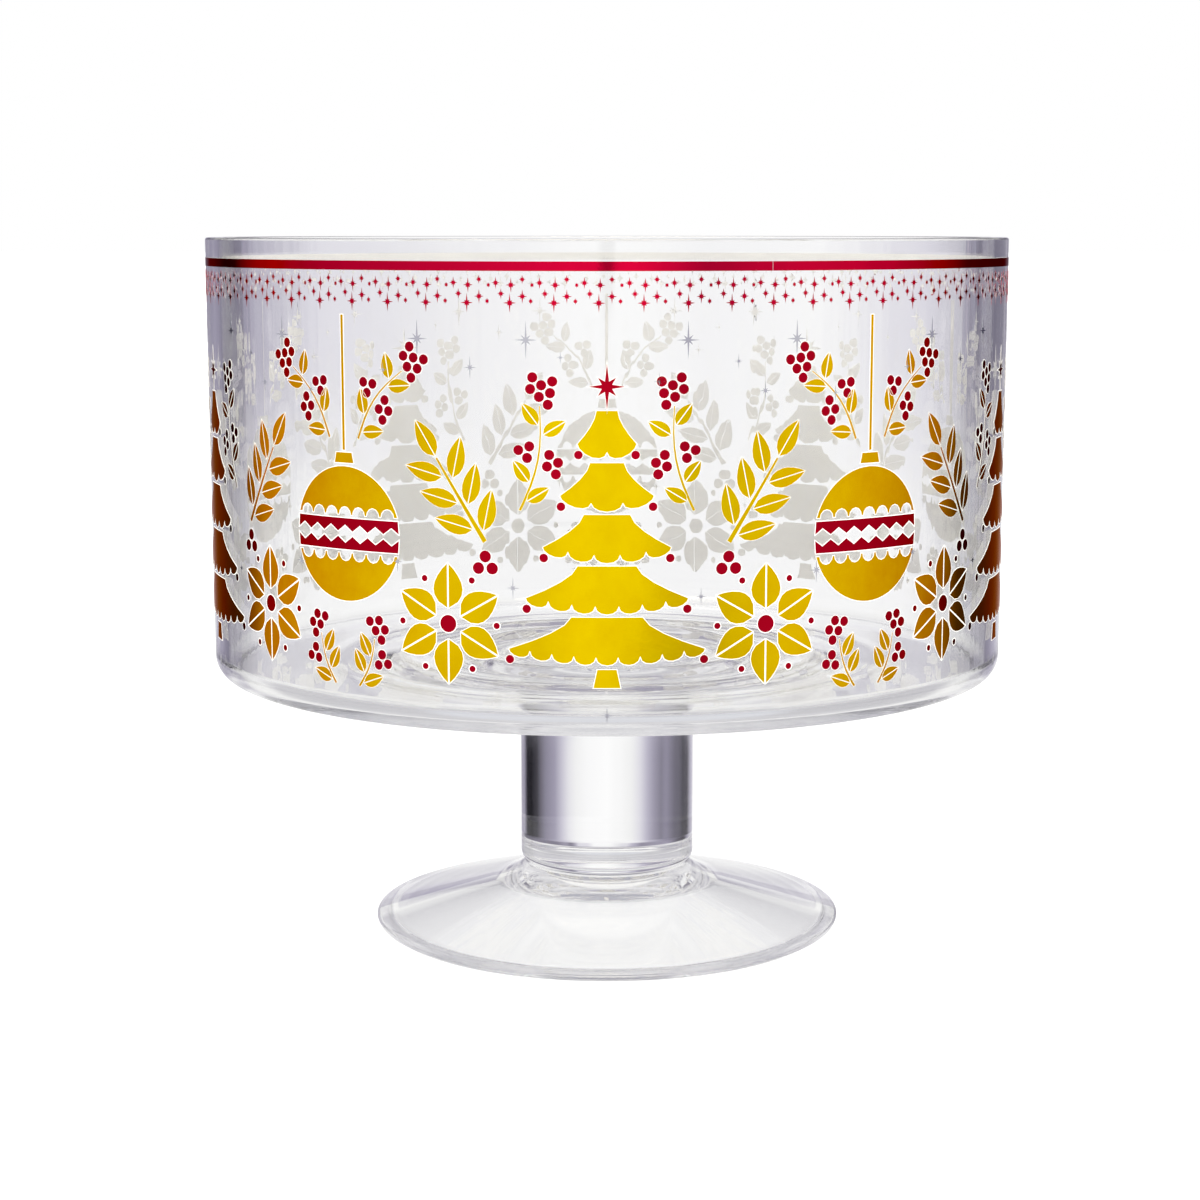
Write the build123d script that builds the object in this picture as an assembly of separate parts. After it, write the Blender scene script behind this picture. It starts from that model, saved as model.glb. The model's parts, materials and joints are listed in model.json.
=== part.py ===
"""Footed trifle bowl in clear glass, with foil transfers on the outside of its wall.

The glass is three pieces fused end to end: a straight-sided bowl, a solid stem and a spreading foot.
Every other node is foil that lies on the wall: a stripe and a star border under the rim, and a frieze
of trees, hanging baubles, flowers, twigs and small stars, repeated around the bowl.
Millimetres, +Z up, origin on the table under the middle of the foot. The seen side faces -Y.
"""

from build123d import *
from math import cos, degrees, floor, pi, radians, sin
import os

# Glass: foot
foot_d = 128.4  # widest, at the rounded edge
foot_h = 18.0  # table to the top of the collar, where the stem stands
foot_edge_h = 4.4  # table to the corner where the upper cone meets the edge
foot_edge_over = 1.2  # bevel over the edge
foot_edge_under = 2.8  # bevel under the edge
foot_collar_d = 52.6  # where the upper cone meets the collar
foot_collar_h = 14.4
foot_neck_d = 45.4  # top of the collar, under the stem
foot_ring_w = 3.4  # flat ring that rests on the table
foot_hollow_d = 48.0  # flat top of the hollow underside, which follows the upper cone
foot_hollow_h = 10.0

# Glass: stem
stem_d = 48.0
stem_l = 54.6
stem_end_bevel = 2.0

# Glass: bowl
bowl_d = 215.0  # outside of the wall
bowl_h = 117.3  # underside to rim
wall_t = 3.6
floor_t = 4.6
corner_r = 5.6  # outside corner of the floor
corner_flats = 3  # flats that round that corner
inner_corner = 4.0  # slope that fills the inside corner of the floor
rim_bevel = 0.9

# Foil
foil_t = 0.15
foil_film = 0.1  # glue between the wall and the foil
keyline = 0.7  # bare gap between neighbouring pieces of foil

# Stripe under the rim
stripe_drop = 5.2  # rim to the top of the stripe
stripe_h = 2.2
stripe_seam = 0.2  # gap where the two ends of the strip meet
stripe_seam_at = 21.0  # degrees round from the seen side

# Star border under the stripe
border_gap = 1.2  # stripe to the border
border_h = 7.6
border_pitch = 26.0  # from one star to the next at the same height
border_star_h = 4.2
border_star_w = 2.8
star_waist = 0.26  # inner corners of a star, as a share of its reach

# Frieze
frieze_pitch = 134.0  # room that one tree with one bauble needs round the wall
frieze_foot = 12.5  # underside of the bowl to the lowest foil
frieze_head = 14.0  # border to the tree tops, where the small stars are

tree_w = 47.0
tree_tiers = 5
tree_trunk_w = 5.0
tree_trunk_h = 5.0
tree_top_w = 0.30  # width of the top tier as a share of the lowest
tree_neck = 0.38  # upper edge of a tier as a share of its lower edge
tree_sag = 2.4  # hang of a tier's lower edge below its ends
tree_star_d = 8.4

bauble_d = 33.0
bauble_band_h = 8.0
bauble_cap_w = 6.0
bauble_cap_h = 2.6
bauble_thread_w = 0.8
bauble_lift = 0.46  # middle of the bauble, as a share of the frieze height

flower_d = 29.0
flower_petals = 6
flower_petal_w = 7.6
flower_eye_d = 7.0  # bare middle that holds the bead
flower_bead_d = 4.4
flower_off = 38.5  # round the wall, from the tree to the flower

twig_l = 33.0
twig_stem_w = 0.8
twig_leaf_l = 10.5
twig_leaf_w = 4.2
twig_pairs = 3
twig_spread = 42.0  # degrees between a leaf and its stem
twig_lean = 58.0  # degrees from level
twig_off = 29.0  # round the wall, from the tree to the twig's heel
twig_rise = 5.3  # top of the flower to the twig's heel
twig_bead_d = 3.0

small_star_h = 9.0
small_star_w = 5.6
small_star_shares = (0.14, 0.34, 0.66, 0.86)  # places between one tree and the next

# Heights and radii that follow from the sizes above
bowl_r = bowl_d / 2
foil_r = bowl_r + foil_film
stem_z = foot_h
bowl_z = stem_z + stem_l
rim_z = bowl_z + bowl_h
wall_z = bowl_z + corner_r
stripe_z = rim_z - stripe_drop - stripe_h
border_z = stripe_z - border_gap - border_h
frieze_z = bowl_z + frieze_foot
frieze_top = border_z - frieze_head
frieze_h = frieze_top - frieze_z
repeats = floor(pi * bowl_d / frieze_pitch)
repeat_turn = 360 / repeats
border_pairs = floor(pi * bowl_d / border_pitch)


def filled(*lines):
    """Flat face inside a closed chain of lines."""
    return make_face([edge for line in lines for edge in line.edges()])


def turned(outline):
    """Solid of revolution about Z from a closed half section in the XZ plane."""
    return revolve(Plane.XZ * outline, Axis.Z, 360)


def corner_at(outline, point):
    """The corner of an outline at a point."""
    return outline.vertices().sort_by_distance(Vector(*point, 0))[0]


def make_bowl():
    """Straight-sided bowl: flat floor, rounded corner round it and a bevelled rim."""
    floor_z = bowl_z + floor_t
    inner_r = bowl_r - wall_t
    corner = []
    for k in range(corner_flats + 1):
        angle = pi / 2 * k / corner_flats
        corner.append((bowl_r - corner_r + corner_r * sin(angle), wall_z - corner_r * cos(angle)))
    section = filled(
        Polyline(
            (0, bowl_z),
            *corner,
            (bowl_r, rim_z),
            (inner_r, rim_z),
            (inner_r, floor_z),
            (0, floor_z),
            close=True,
        )
    )
    section = chamfer(corner_at(section, (bowl_r, rim_z)), rim_bevel)
    section = chamfer(corner_at(section, (inner_r, rim_z)), rim_bevel)
    section = chamfer(corner_at(section, (inner_r, floor_z)), inner_corner)
    return turned(section)


def make_stem():
    """Solid round stem, bevelled where it stands on the collar."""
    stem_r = stem_d / 2
    section = filled(
        Polyline((0, stem_z), (stem_r, stem_z), (stem_r, bowl_z), (0, bowl_z), close=True)
    )
    return turned(chamfer(corner_at(section, (stem_r, stem_z)), stem_end_bevel))


def make_foot():
    """Spreading foot: a low cone under a flared collar, hollow below, standing on a flat ring."""
    foot_r = foot_d / 2
    ring_r = foot_r - foot_edge_under - foot_ring_w
    section = filled(
        Polyline(
            (0, foot_hollow_h),
            (foot_hollow_d / 2, foot_hollow_h),
            (ring_r, 0),
            (foot_r, 0),
            (foot_r, foot_edge_h),
            (foot_collar_d / 2, foot_collar_h),
            (foot_neck_d / 2, foot_h),
            (0, foot_h),
            close=True,
        )
    )
    section = chamfer(corner_at(section, (foot_r, 0)), foot_edge_under)
    section = chamfer(corner_at(section, (foot_r, foot_edge_h)), foot_edge_over)
    return turned(section)


def foil_ring(z_low, z_high):
    """Ring of foil right round the wall between two heights."""
    height = z_high - z_low
    section = Pos(foil_r + foil_t / 2, z_low + height / 2) * Rectangle(foil_t, height)
    return turned(section)


wall_foil = foil_ring(wall_z, rim_z - rim_bevel)


def across(distance):
    """Angle in degrees that a distance round the wall takes up."""
    return degrees(distance / bowl_r)


def wrapped(outline):
    """Large piece of foil, cut to a flat outline (across, height) and bent round the seen side."""
    cutter = extrude(Plane.XZ * outline, bowl_d)
    return (wall_foil & cutter).solids()


def dabbed(outline, x, z, turn=0):
    """Small piece of foil, laid flat on the wall: over its few millimetres the wall hardly curves."""
    piece = extrude(Rot(0, 0, turn) * outline, foil_t)
    return (Rot(0, 0, across(x)) * Pos(0, -foil_r, z) * Rot(90, 0, 0) * piece).solids()


def round_the_wall(pieces, angles):
    """Copies of the pieces at each angle round the wall."""
    return [Rot(0, 0, angle) * piece for angle in angles for piece in pieces]


def star(height, width):
    """Four-pointed star."""
    points = []
    for k in range(8):
        reach = 1.0 if k % 2 == 0 else star_waist
        angle = pi * k / 4
        points.append((reach * width / 2 * sin(angle), reach * height / 2 * cos(angle)))
    return filled(Polyline(*points, close=True))


def leaf(length, width):
    """Pointed leaf along X about its middle."""
    tip, side = length / 2, width / 2
    return filled(Polyline((-tip, 0), (0, -side), (tip, 0), (0, side), close=True))


def bead(diameter):
    """Round bead, cut with six sides."""
    return RegularPolygon(diameter / 2, 6)


def make_stripe():
    """Foil strip under the rim, with a hairline seam where its ends meet."""
    ring = foil_ring(stripe_z, stripe_z + stripe_h)
    seam = Pos(0, -bowl_r, stripe_z) * Box(stripe_seam, bowl_r, 4 * stripe_h)
    return (ring - Rot(0, 0, stripe_seam_at) * seam).solids()


def make_border():
    """Stars in two heights by turns, under the stripe."""
    low_z = border_z + border_star_h / 2
    high_z = border_z + border_h - border_star_h / 2
    turn = 360 / border_pairs
    outline = star(border_star_h, border_star_w)
    turns = [k * turn for k in range(border_pairs)]
    high_turns = [angle + turn / 2 for angle in turns]
    low = round_the_wall(dabbed(outline, 0, low_z), turns)
    return low + round_the_wall(dabbed(outline, 0, high_z), high_turns)


tree_turns = [k * repeat_turn for k in range(repeats)]
bauble_turns = [angle + repeat_turn / 2 for angle in tree_turns]


def tree_tier(half_w, neck_half_w, low, high):
    """One flared tier, with the ends of its lower edge turned up."""
    edge_z = low + tree_sag
    return filled(
        Polyline(
            (-half_w / 2, low),
            (half_w / 2, low),
            (half_w, edge_z),
            (neck_half_w, high),
            (-neck_half_w, high),
            (-half_w, edge_z),
            close=True,
        )
    )


def make_trees():
    """Tiered fir trees that stand in a row round the bowl."""
    trunk_z = frieze_z + tree_trunk_h
    tier_h = (frieze_top - tree_star_d - keyline - trunk_z) / tree_tiers
    trunk = Rectangle(tree_trunk_w, tree_trunk_h)
    pieces = dabbed(trunk, 0, frieze_z + tree_trunk_h / 2)
    for k in range(tree_tiers):
        half_w = tree_w / 2 * (1 - (1 - tree_top_w) * k / (tree_tiers - 1))
        low = trunk_z + k * tier_h + keyline
        pieces += wrapped(tree_tier(half_w, tree_neck * half_w, low, low + tier_h - keyline))
    return round_the_wall(pieces, tree_turns)


def make_tree_stars():
    """Star on the top of each tree."""
    z = frieze_top - tree_star_d / 2 + keyline
    return round_the_wall(dabbed(star(tree_star_d, tree_star_d), 0, z), tree_turns)


bauble_z = frieze_z + bauble_lift * frieze_h


def make_baubles():
    """Round baubles, each two domes, a cap and the thread that it hangs by."""
    cap_z = bauble_z + bauble_d / 2 + keyline + bauble_cap_h / 2
    thread_z = cap_z + bauble_cap_h / 2 + keyline
    thread_h = border_z - keyline - thread_z
    domes = Circle(bauble_d / 2) - Rectangle(2 * bauble_d, bauble_band_h + 2 * keyline)
    pieces = wrapped(Pos(0, bauble_z) * domes)
    pieces += dabbed(Rectangle(bauble_cap_w, bauble_cap_h), 0, cap_z)
    pieces += dabbed(Rectangle(bauble_thread_w, thread_h), 0, thread_z + thread_h / 2)
    return round_the_wall(pieces, bauble_turns)


def make_bauble_bands():
    """Band across the middle of each bauble."""
    band = Circle(bauble_d / 2) & Rectangle(2 * bauble_d, bauble_band_h)
    return round_the_wall(wrapped(Pos(0, bauble_z) * band), bauble_turns)


flower_z = frieze_z + flower_d / 2
flower_turns = [angle + side * across(flower_off) for angle in tree_turns for side in (-1, 1)]


def make_flowers():
    """Flowers at the foot of the trees."""
    petal_l = (flower_d - flower_eye_d) / 2
    reach = (flower_d + flower_eye_d) / 4
    petal = leaf(petal_l, flower_petal_w)
    pieces = []
    for k in range(flower_petals):
        turn = 90 + 360 * k / flower_petals
        x, rise = reach * cos(radians(turn)), reach * sin(radians(turn))
        pieces += dabbed(petal, x, flower_z + rise, turn)
    return round_the_wall(pieces, flower_turns)


def make_flower_beads():
    """Bead in the eye of each flower."""
    return round_the_wall(dabbed(bead(flower_bead_d), 0, flower_z), flower_turns)


twig_z = flower_z + flower_d / 2 + twig_rise


def make_twigs():
    """Leafy twigs that spring up on both sides of every tree and lean away from it."""
    stem_len = twig_l - twig_leaf_l
    leaf_off = twig_stem_w / 2 + keyline + twig_leaf_l / 2 * sin(radians(twig_spread))
    leaf_on = twig_leaf_l / 2 * cos(radians(twig_spread))
    outline = leaf(twig_leaf_l, twig_leaf_w)
    # each entry: outline, place along the twig, place beside it, turn against it
    bits = [(Rectangle(stem_len, twig_stem_w), stem_len / 2, 0, 0)]
    bits.append((outline, stem_len + keyline + twig_leaf_l / 2, 0, 0))
    for k in range(twig_pairs):
        heel = (k + 0.5) * stem_len / twig_pairs
        for hand in (-1, 1):
            bits.append((outline, heel + leaf_on, hand * leaf_off, hand * twig_spread))
    pieces = []
    for side in (-1, 1):
        lean = 90 - side * (90 - twig_lean)
        ahead = cos(radians(lean)), sin(radians(lean))
        twig = []
        for shape, along, beside, turn in bits:
            x = along * ahead[0] - beside * ahead[1]
            z = along * ahead[1] + beside * ahead[0]
            twig += dabbed(shape, x, twig_z + z, lean + turn)
        pieces += round_the_wall(twig, [angle + side * across(twig_off) for angle in tree_turns])
    return pieces


def make_twig_beads():
    """Three beads in a cluster under the heel of each twig."""
    step = twig_bead_d + keyline / 2
    lower = step * (1 + sin(radians(60)))
    pieces = []
    for x, drop in ((0, step), (-step / 2, lower), (step / 2, lower)):
        pieces += dabbed(bead(twig_bead_d), x, twig_z - drop)
    turns = [angle + side * across(twig_off) for angle in tree_turns for side in (-1, 1)]
    return round_the_wall(pieces, turns)


def make_small_stars():
    """Small stars over the frieze."""
    z = frieze_top + frieze_head / 2
    turns = [angle + share * repeat_turn for angle in tree_turns for share in small_star_shares]
    return round_the_wall(dabbed(star(small_star_h, small_star_w), 0, z), turns)


nodes = {
    "bowl": make_bowl().solids(),
    "stem": make_stem().solids(),
    "foot": make_foot().solids(),
    "rim_stripe": make_stripe(),
    "border_stars": make_border(),
    "tree_foils": make_trees(),
    "tree_top_stars": make_tree_stars(),
    "bauble_foils": make_baubles(),
    "bauble_bands": make_bauble_bands(),
    "flower_petals": make_flowers(),
    "flower_beads": make_flower_beads(),
    "twig_foils": make_twigs(),
    "twig_beads": make_twig_beads(),
    "small_stars": make_small_stars(),
}

os.makedirs("parts", exist_ok=True)
for name, solids in nodes.items():
    export_step(Compound(children=solids), f"parts/{name}.step")
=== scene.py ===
"""Looks of the footed trifle bowl: clear glass and hot-foil ornament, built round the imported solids."""

import json
from math import asin, cos, pi, radians, sin

import bmesh
import bpy
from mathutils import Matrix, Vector

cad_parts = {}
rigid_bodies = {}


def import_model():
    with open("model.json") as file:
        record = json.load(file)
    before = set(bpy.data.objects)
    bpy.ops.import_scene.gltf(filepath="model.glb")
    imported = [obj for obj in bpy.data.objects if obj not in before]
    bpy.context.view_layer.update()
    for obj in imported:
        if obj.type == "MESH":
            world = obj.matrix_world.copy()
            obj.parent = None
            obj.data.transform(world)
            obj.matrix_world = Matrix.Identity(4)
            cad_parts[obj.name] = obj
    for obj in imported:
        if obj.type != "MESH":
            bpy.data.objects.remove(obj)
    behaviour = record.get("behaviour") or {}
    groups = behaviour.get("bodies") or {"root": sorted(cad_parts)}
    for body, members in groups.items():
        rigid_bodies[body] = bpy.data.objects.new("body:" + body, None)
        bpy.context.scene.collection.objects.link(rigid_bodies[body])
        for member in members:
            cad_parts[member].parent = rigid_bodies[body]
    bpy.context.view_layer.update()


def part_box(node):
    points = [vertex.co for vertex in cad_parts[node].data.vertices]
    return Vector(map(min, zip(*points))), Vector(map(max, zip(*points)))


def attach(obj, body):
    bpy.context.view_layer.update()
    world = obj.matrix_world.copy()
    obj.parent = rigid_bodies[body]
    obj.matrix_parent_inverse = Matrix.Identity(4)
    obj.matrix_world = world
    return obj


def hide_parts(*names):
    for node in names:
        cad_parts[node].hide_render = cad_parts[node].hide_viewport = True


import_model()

bl_info = {
    "name": "Footed trifle bowl",
    "version": (1, 0, 0),
    "blender": (4, 5, 0),
    "location": "3D View > Sidebar > Trifle bowl",
    "description": "Builds a clear glass trifle bowl with gold, red and silver foil round its wall",
    "category": "Add Mesh",
}

MM = 0.001
# Points this near each other are one place.
TOUCH = 0.001 * MM
BOWL_LOW, BOWL_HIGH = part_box("bowl")
STEM_LOW, STEM_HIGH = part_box("stem")
FOOT_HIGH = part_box("foot")[1]
STRIPE_LOW, STRIPE_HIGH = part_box("rim_stripe")
TREE_LOW, TREE_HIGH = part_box("tree_foils")
BAND_LOW, BAND_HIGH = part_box("bauble_bands")
PETAL_LOW, PETAL_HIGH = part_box("flower_petals")
STAR_LOW, STAR_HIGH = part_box("small_stars")
# The frieze is drawn once, flat, and laid this many times round the wall.
REPEATS = 5


def linear(code):
    """Linear colour of an sRGB hex value."""
    values = [int(code[k : k + 2], 16) / 255 for k in (1, 3, 5)]
    return tuple(v / 12.92 if v <= 0.04045 else ((v + 0.055) / 1.055) ** 2.4 for v in values) + (1.0,)


class GlassSizes(bpy.types.PropertyGroup):
    """Sizes of the three pieces of glass."""

    rim_r: bpy.props.FloatProperty(
        name="Rim radius",
        description="Outside of the wall at the rim",
        default=BOWL_HIGH.x,
        unit="LENGTH",
    )
    draft: bpy.props.FloatProperty(
        name="Draft",
        description="How far the wall draws in from rim to floor",
        default=0.45 * MM,
        unit="LENGTH",
    )
    wall_t: bpy.props.FloatProperty(
        name="Wall", description="Wall thickness", default=3.6 * MM, unit="LENGTH"
    )
    floor_t: bpy.props.FloatProperty(
        name="Floor", description="Floor thickness in the middle", default=5.4 * MM, unit="LENGTH"
    )
    floor_edge_t: bpy.props.FloatProperty(
        name="Floor edge",
        description="Floor thickness beside the wall",
        default=3.4 * MM,
        unit="LENGTH",
    )
    corner_r: bpy.props.FloatProperty(
        name="Corner",
        description="Radius of the corner under the wall",
        default=5.8 * MM,
        unit="LENGTH",
    )
    inner_corner_r: bpy.props.FloatProperty(
        name="Inner corner",
        description="Radius where the wall meets the floor",
        default=4.0 * MM,
        unit="LENGTH",
    )
    rim_round: bpy.props.FloatProperty(
        name="Rim round",
        description="Radius of the rim's two edges",
        default=0.7 * MM,
        unit="LENGTH",
    )
    ripple_h: bpy.props.FloatProperty(
        name="Ripple",
        description="Height of the rings in the floor",
        default=1.2 * MM,
        unit="LENGTH",
    )
    ripple_pitch: bpy.props.FloatProperty(
        name="Ripple pitch",
        description="From one ring in the floor to the next",
        default=19 * MM,
        unit="LENGTH",
    )
    ripple_r: bpy.props.FloatProperty(
        name="Ripple reach",
        description="Radius at which the rings fade out",
        default=78 * MM,
        unit="LENGTH",
    )
    stem_r: bpy.props.FloatProperty(
        name="Stem radius", description="Radius of the stem", default=STEM_HIGH.x, unit="LENGTH"
    )
    stem_round: bpy.props.FloatProperty(
        name="Stem end",
        description="Radius of the stem's lower edge",
        default=3.0 * MM,
        unit="LENGTH",
    )
    hollow_h: bpy.props.FloatProperty(
        name="Hollow",
        description="Height of the hollow under the foot",
        default=10.9 * MM,
        unit="LENGTH",
    )


class FoilSizes(bpy.types.PropertyGroup):
    """Sizes that all pieces of foil share."""

    film: bpy.props.FloatProperty(
        name="Film",
        description="From the glass to the face of the foil",
        default=0.09 * MM,
        unit="LENGTH",
    )
    thickness: bpy.props.FloatProperty(
        name="Thickness",
        description="Foil with its white backing",
        default=0.06 * MM,
        unit="LENGTH",
    )
    margin: bpy.props.FloatProperty(
        name="Margin",
        description="White backing left round the gold",
        default=0.15 * MM,
        unit="LENGTH",
    )
    strip: bpy.props.FloatProperty(
        name="Strip",
        description="Width of the strips that let flat foil bend",
        default=2.5 * MM,
        unit="LENGTH",
    )
    cells: bpy.props.IntProperty(
        name="Border cells", description="Groups of border stars in one repeat", default=13, min=1
    )


class Finishes(bpy.types.PropertyGroup):
    """Colours of the glass and the foils."""

    glass: bpy.props.FloatVectorProperty(
        name="Glass", description="Clear glass", size=4, subtype="COLOR", default=linear("#FDFDFD")
    )
    gold: bpy.props.FloatVectorProperty(
        name="Gold", description="Gold foil", size=4, subtype="COLOR", default=linear("#FAD700")
    )
    red: bpy.props.FloatVectorProperty(
        name="Red",
        description="Red foil of the stripe and border",
        size=4,
        subtype="COLOR",
        default=linear("#E2063C"),
    )
    berry: bpy.props.FloatVectorProperty(
        name="Berry",
        description="Darker red foil of the frieze",
        size=4,
        subtype="COLOR",
        default=linear("#BC0624"),
    )
    silver: bpy.props.FloatVectorProperty(
        name="Silver", description="Silver foil", size=4, subtype="COLOR", default=linear("#D4D4DA")
    )
    backing: bpy.props.FloatVectorProperty(
        name="Backing",
        description="White primer under the foil",
        size=4,
        subtype="COLOR",
        default=linear("#FFFCF4"),
    )


# Materials


def add(tree, kind, settings=None, inputs=None, stops=None):
    """Adds one node with its settings and any colour stops, and sets or links its inputs."""
    node = tree.nodes.new(kind)
    for name, value in (settings or {}).items():
        setattr(node, name, value)
    for k, (position, colour) in enumerate(stops or []):
        if k >= len(node.color_ramp.elements):
            node.color_ramp.elements.new(position)
        node.color_ramp.elements[k].position = position
        node.color_ramp.elements[k].color = colour
    for name, value in (inputs or {}).items():
        if isinstance(value, bpy.types.NodeSocket):
            tree.links.new(value, node.inputs[name])
        else:
            node.inputs[name].default_value = value
    return node


def new_material(name):
    """A material with an empty node tree, and that tree."""
    material = bpy.data.materials.new(name)
    material.use_nodes = True
    material.node_tree.nodes.clear()
    return material, material.node_tree


def fire_polished_glass(colour):
    """Soda-lime glass, shaped hot and fire polished: clear, with faint waves that bend the view."""
    material, tree = new_material("fire_polished_glass")
    place = add(tree, "ShaderNodeTexCoord")
    # Slow waves about 30 mm across, left by the blowing.
    waves = add(
        tree,
        "ShaderNodeTexNoise",
        None,
        {"Vector": place.outputs["Object"], "Scale": 1 / (30 * MM), "Detail": 1.0, "Roughness": 0.4},
    )
    # Fine upright streaks about 5 mm across and 160 mm long, drawn out as the wall was shaped.
    drawn = add(
        tree,
        "ShaderNodeMapping",
        None,
        {"Vector": place.outputs["Object"], "Scale": (1 / (5 * MM), 1 / (5 * MM), 1 / (160 * MM))},
    )
    streaks = add(
        tree,
        "ShaderNodeTexNoise",
        None,
        {"Vector": drawn.outputs["Vector"], "Scale": 1.0, "Detail": 2.0},
    )
    # The floor and the foot were not drawn out, so the streaks fade as the glass turns level.
    lie = add(tree, "ShaderNodeSeparateXYZ", None, {"Vector": place.outputs["Normal"]})
    level = add(tree, "ShaderNodeMath", {"operation": "ABSOLUTE"}, {0: lie.outputs["Z"]})
    upright = add(
        tree,
        "ShaderNodeMapRange",
        None,
        {
            "Value": level.outputs["Value"],
            "From Min": 0.1,
            "From Max": 0.5,
            "To Min": 1.2,
            "To Max": 0.0,
        },
    )
    relief = add(
        tree,
        "ShaderNodeMath",
        {"operation": "MULTIPLY_ADD"},
        {0: streaks.outputs["Fac"], 1: upright.outputs["Result"], 2: waves.outputs["Fac"]},
    )
    bump = add(
        tree,
        "ShaderNodeBump",
        None,
        {"Height": relief.outputs["Value"], "Strength": 0.1, "Distance": 0.2 * MM},
    )
    shader = add(
        tree,
        "ShaderNodeBsdfPrincipled",
        None,
        {
            "Base Color": colour,
            "Roughness": 0.0,
            "IOR": 1.51,
            "Transmission Weight": 1.0,
            "Normal": bump.outputs["Normal"],
        },
    )
    add(tree, "ShaderNodeOutputMaterial", None, {"Surface": shader.outputs["BSDF"]})
    return material


def fused_joint():
    """Where two pieces of glass melted together: no surface is left, so light goes straight on."""
    material, tree = new_material("fused_glass_joint")
    shader = add(
        tree,
        "ShaderNodeBsdfPrincipled",
        None,
        {"Base Color": (1, 1, 1, 1), "Roughness": 0.0, "IOR": 1.51, "Alpha": 0.0},
    )
    add(tree, "ShaderNodeOutputMaterial", None, {"Surface": shader.outputs["BSDF"]})
    return material


def hot_foil(name, colour, deep, roughness):
    """Metallised film pressed on hot: mirror-bright, with painted shade that darkens it towards a deeper
    colour as it turns away from the view, and orange peel.
    """
    material, tree = new_material(name)
    place = add(tree, "ShaderNodeTexCoord")
    # Mottling about 6 mm across, where the press held longer.
    mottle = add(
        tree,
        "ShaderNodeTexNoise",
        None,
        {"Vector": place.outputs["Object"], "Scale": 1 / (6 * MM), "Detail": 3.0, "Roughness": 0.6},
    )
    patch = add(
        tree,
        "ShaderNodeMapRange",
        None,
        {"Value": mottle.outputs["Fac"], "From Min": 0.3, "From Max": 0.7, "To Max": 0.14},
    )
    # Painted shade: the foil is darkened towards its deeper colour the more it turns away from the view.
    slant = add(tree, "ShaderNodeLayerWeight", None, {"Blend": 0.5})
    painted_shade = add(
        tree,
        "ShaderNodeMapRange",
        None,
        {"Value": slant.outputs["Facing"], "From Max": 0.42, "To Max": 0.86},
    )
    # The random mottle and the painted shade together pull the foil towards its deeper colour.
    depth = add(
        tree,
        "ShaderNodeMath",
        {"operation": "ADD"},
        {0: patch.outputs["Result"], 1: painted_shade.outputs["Result"]},
    )
    tint = add(
        tree,
        "ShaderNodeMix",
        {"data_type": "RGBA"},
        {"Factor": depth.outputs["Value"], "A": colour, "B": deep},
    )
    # Orange peel: real grains are about 0.4 mm, drawn at 0.8 mm so that they show.
    peel = add(
        tree,
        "ShaderNodeTexNoise",
        None,
        {"Vector": place.outputs["Object"], "Scale": 1 / (0.8 * MM), "Detail": 2.0, "Roughness": 0.5},
    )
    bump = add(
        tree,
        "ShaderNodeBump",
        None,
        {"Height": peel.outputs["Fac"], "Strength": 0.2, "Distance": 0.02 * MM},
    )
    shader = add(
        tree,
        "ShaderNodeBsdfPrincipled",
        None,
        {
            "Base Color": tint.outputs["Result"],
            "Metallic": 1.0,
            "Specular Tint": deep,
            "Roughness": roughness,
            "Normal": bump.outputs["Normal"],
        },
    )
    add(tree, "ShaderNodeOutputMaterial", None, {"Surface": shader.outputs["BSDF"]})
    return material


def white_backing(colour):
    """White primer that the foil is pressed on: pearly, a little uneven."""
    material, tree = new_material("white_primer")
    place = add(tree, "ShaderNodeTexCoord")
    grain = add(
        tree,
        "ShaderNodeTexNoise",
        None,
        {"Vector": place.outputs["Object"], "Scale": 1 / (1.5 * MM), "Detail": 3.0},
    )
    shade = add(
        tree,
        "ShaderNodeMix",
        {"data_type": "RGBA"},
        {"Factor": grain.outputs["Fac"], "A": [0.93 * c for c in colour[:3]] + [1], "B": colour},
    )
    shader = add(
        tree,
        "ShaderNodeBsdfPrincipled",
        None,
        {"Base Color": shade.outputs["Result"], "Metallic": 0.1, "Roughness": 0.5},
    )
    add(tree, "ShaderNodeOutputMaterial", None, {"Surface": shader.outputs["BSDF"]})
    return material


def material_for(name):
    """The material of that name, made when it is first asked for."""
    found = bpy.data.materials.get(name)
    if found:
        return found
    colours = bpy.context.scene.bowl_finishes
    if name == "fire_polished_glass":
        return fire_polished_glass(tuple(colours.glass))
    if name == "fused_glass_joint":
        return fused_joint()
    if name == "white_primer":
        return white_backing(tuple(colours.backing))
    # each foil: its colour face on, its darker colour as it turns away (painted shade, and the tint of
    # its edge reflections), its roughness
    foils = {
        "gold_hot_foil": (colours.gold, "#C87C00", 0.14),
        "red_hot_foil": (colours.red, "#A0001C", 0.08),
        "berry_hot_foil": (colours.berry, "#8C0010", 0.12),
        "silver_hot_foil": (colours.silver, "#B8B8C0", 0.18),
    }
    if name in foils:
        colour, deep, roughness = foils[name]
        return hot_foil(name, tuple(colour), linear(deep), roughness)
    raise RuntimeError(f"no material is named {name}")


# Modelling steps


def begin(name, materials):
    """Starts a piece as one point at the origin, in edit mode."""
    bpy.ops.object.select_all(action="DESELECT")
    bpy.ops.mesh.primitive_plane_add(size=MM, location=(0, 0, 0))
    piece = bpy.context.active_object
    piece.name = name
    piece.data.name = name
    for material in materials:
        piece.data.materials.append(material_for(material))
    bpy.ops.object.mode_set(mode="EDIT")
    bpy.ops.mesh.select_mode(type="VERT")
    bpy.ops.mesh.merge(type="CENTER")
    return piece


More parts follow.
